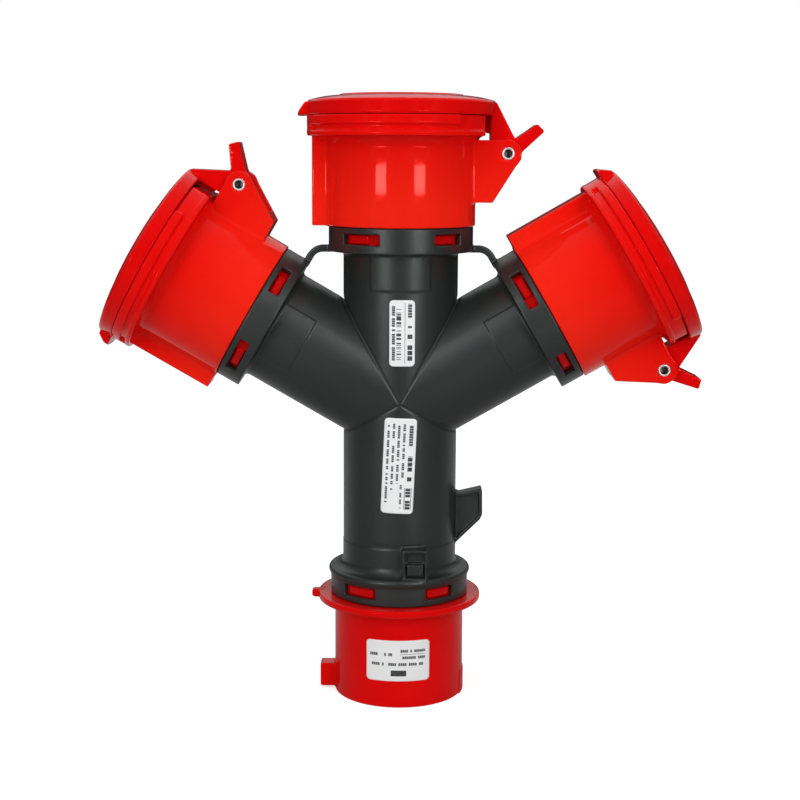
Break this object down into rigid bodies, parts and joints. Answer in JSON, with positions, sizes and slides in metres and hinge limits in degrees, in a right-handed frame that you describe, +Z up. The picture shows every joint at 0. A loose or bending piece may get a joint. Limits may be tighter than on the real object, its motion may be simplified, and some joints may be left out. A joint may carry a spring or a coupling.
{
  "type": "multi-way industrial plug adaptor",
  "caption": "Pin-and-sleeve power splitter: a plug under a moulded branching body feeds angled sockets, each closed by a spring-loaded hinged lid.",
  "frame": {"origin": "centre of the plug's mouth, on the plane of the shroud's rim; also the bottom centre of the bounding box", "axes": "+Z up the stem, from the plug to the top socket; +X toward the right arm, the side the lid hinges are on; -Y is the front, with the labels"},
  "size_m": [0.2916, 0.0904, 0.2947],
  "materials": {
    "red_plastic": "glossy signal-red moulded polyamide",
    "body_plastic": "satin anthracite moulded polyamide",
    "carrier_plastic": "matt black moulded insert",
    "pin_metal": "nickel-plated brass, bright",
    "contact_brass": "bright turned brass",
    "screw_steel": "zinc-plated steel",
    "spring_steel": "stainless spring wire",
    "rubber": "matt black rubber",
    "label": "white plastic film, satin",
    "wire_brown": "brown insulation",
    "wire_black": "black insulation",
    "wire_grey": "grey insulation",
    "wire_blue": "blue insulation",
    "wire_green_yellow": "green and yellow insulation"
  },
  "bodies": {
    "housing": {"body_housing": "body_plastic", "plug_housing": "red_plastic", "plug_pin_carrier": "carrier_plastic", "plug_live_pins": "pin_metal", "plug_earth_pin": "pin_metal", "plug_terminal_screws": "screw_steel", "plug_seal": "rubber", "wires_l1": "wire_brown", "wires_l2": "wire_black", "wires_l3": "wire_grey", "wires_neutral": "wire_blue", "wires_earth": "wire_green_yellow", "label_top_arm": "label", "label_stem": "label", "label_plug": "label", "socket_housing_top": "red_plastic", "contact_carrier_top": "carrier_plastic", "live_contacts_top": "contact_brass", "earth_contact_top": "contact_brass", "terminal_screws_top": "screw_steel", "socket_seal_top": "rubber", "hinge_pin_top": "screw_steel", "lid_spring_top": "spring_steel", "socket_housing_left": "red_plastic", "contact_carrier_left": "carrier_plastic", "live_contacts_left": "contact_brass", "earth_contact_left": "contact_brass", "terminal_screws_left": "screw_steel", "socket_seal_left": "rubber", "hinge_pin_left": "screw_steel", "lid_spring_left": "spring_steel", "socket_housing_right": "red_plastic", "contact_carrier_right": "carrier_plastic", "live_contacts_right": "contact_brass", "earth_contact_right": "contact_brass", "terminal_screws_right": "screw_steel", "socket_seal_right": "rubber", "hinge_pin_right": "screw_steel", "lid_spring_right": "spring_steel"},
    "lid_top": {"lid_top": "red_plastic", "lid_gasket_top": "rubber"},
    "lid_left": {"lid_left": "red_plastic", "lid_gasket_left": "rubber"},
    "lid_right": {"lid_right": "red_plastic", "lid_gasket_right": "rubber"}
  },
  "joints": [
    {"name": "lid_top_hinge", "type": "hinge", "parent": "housing", "child": "lid_top", "pos_m": [0.0506, 0, 0.267], "axis": [0, 1, 0], "range_deg": [0, 105], "stiffness_Nm_per_rad": 0.05, "springref_deg": -114.59, "deforming": ["lid_spring_top"]},
    {"name": "lid_left_hinge", "type": "hinge", "parent": "housing", "child": "lid_left", "pos_m": [-0.07689, 0, 0.25182], "axis": [0, 1, 0], "range_deg": [0, 105], "stiffness_Nm_per_rad": 0.05, "springref_deg": -114.59, "deforming": ["lid_spring_left"]},
    {"name": "lid_right_hinge", "type": "hinge", "parent": "housing", "child": "lid_right", "pos_m": [0.12749, 0, 0.16418], "axis": [0, 1, 0], "range_deg": [0, 105], "stiffness_Nm_per_rad": 0.05, "springref_deg": -114.59, "deforming": ["lid_spring_right"]}
  ]
}
